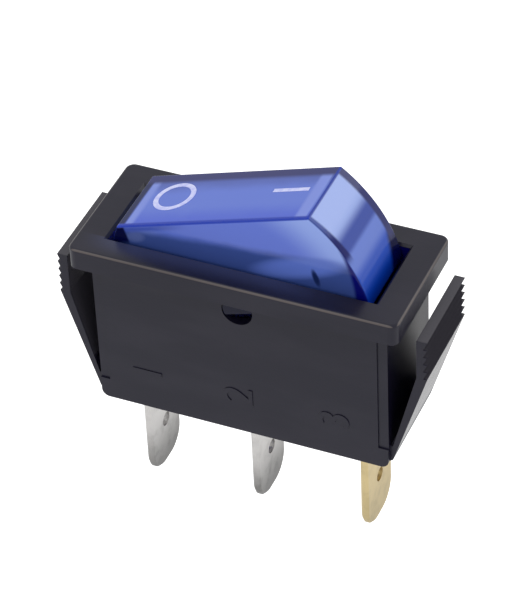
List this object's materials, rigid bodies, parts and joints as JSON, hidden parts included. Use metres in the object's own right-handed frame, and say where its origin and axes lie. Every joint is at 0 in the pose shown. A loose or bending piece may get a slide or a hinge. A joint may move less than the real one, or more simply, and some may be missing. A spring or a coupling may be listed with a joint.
{
  "type": "illuminated snap-in rocker switch",
  "caption": "Rocker switch with a black bezel and body, a blue translucent rocker with a ring and a bar mark, snap arms at both ends and flat tab terminals below.",
  "frame": {"origin": "middle of the bezel's underside, which seats on the panel's front face", "axes": "+Z out of the panel towards the user, +X along the rocker towards the bar (on) end, +Y across the switch"},
  "size_m": [0.0374, 0.0142, 0.0386],
  "materials": {
    "black_nylon": "satin moulded nylon",
    "blue_polycarbonate": "polished translucent",
    "white_mark": "hot-stamped white",
    "silver_plate": "silver-plated brass sheet",
    "brass": "bare brass sheet",
    "contact_silver": "silver alloy rivet",
    "natural_nylon": "plain",
    "spring_steel": "bright drawn wire",
    "lamp_glass": "clear",
    "nickel": "dull nickel",
    "tinned_wire": "tinned",
    "sleeve": "plain tube",
    "resistor_enamel": "baked enamel"
  },
  "bodies": {
    "housing": {"housing": "black_nylon", "terminal_supply": "silver_plate", "terminal_load": "silver_plate", "terminal_lamp": "brass", "fixed_contact": "contact_silver", "lamp_spring": "spring_steel"},
    "rocker": {"rocker_cap": "blue_polycarbonate", "ring_mark": "white_mark", "bar_mark": "white_mark", "plunger_spring": "spring_steel", "lamp_envelope": "lamp_glass", "lamp_electrode_front": "nickel", "lamp_electrode_back": "nickel", "lamp_lead_back": "tinned_wire", "lamp_lead_front": "tinned_wire", "lead_sleeve": "sleeve", "resistor": "resistor_enamel", "resistor_lead": "tinned_wire"},
    "plunger": {"plunger": "natural_nylon"},
    "see_saw": {"contact_bridge": "brass", "moving_contact": "contact_silver"}
  },
  "joints": [
    {"name": "rocker_pivot", "type": "hinge", "parent": "housing", "child": "rocker", "pos_m": [0, 0, -0.00185], "axis": [0, 1, 0], "range_deg": [0, 36], "deforming": ["lamp_spring"]},
    {"name": "plunger_slide", "type": "slide", "parent": "rocker", "child": "plunger", "axis": [0.309, 0, -0.9511], "range_m": [-0.0004, 0.0003], "stiffness_N_per_m": 600, "deforming": ["plunger_spring"]},
    {"name": "see_saw_pivot", "type": "hinge", "parent": "housing", "child": "see_saw", "pos_m": [0, 0, -0.01227], "axis": [0, 1, 0], "range_deg": [-14, 0]}
  ],
  "couplings": [
    {"joint": "see_saw_pivot", "follows": "rocker_pivot", "ratio": -0.38889}
  ]
}
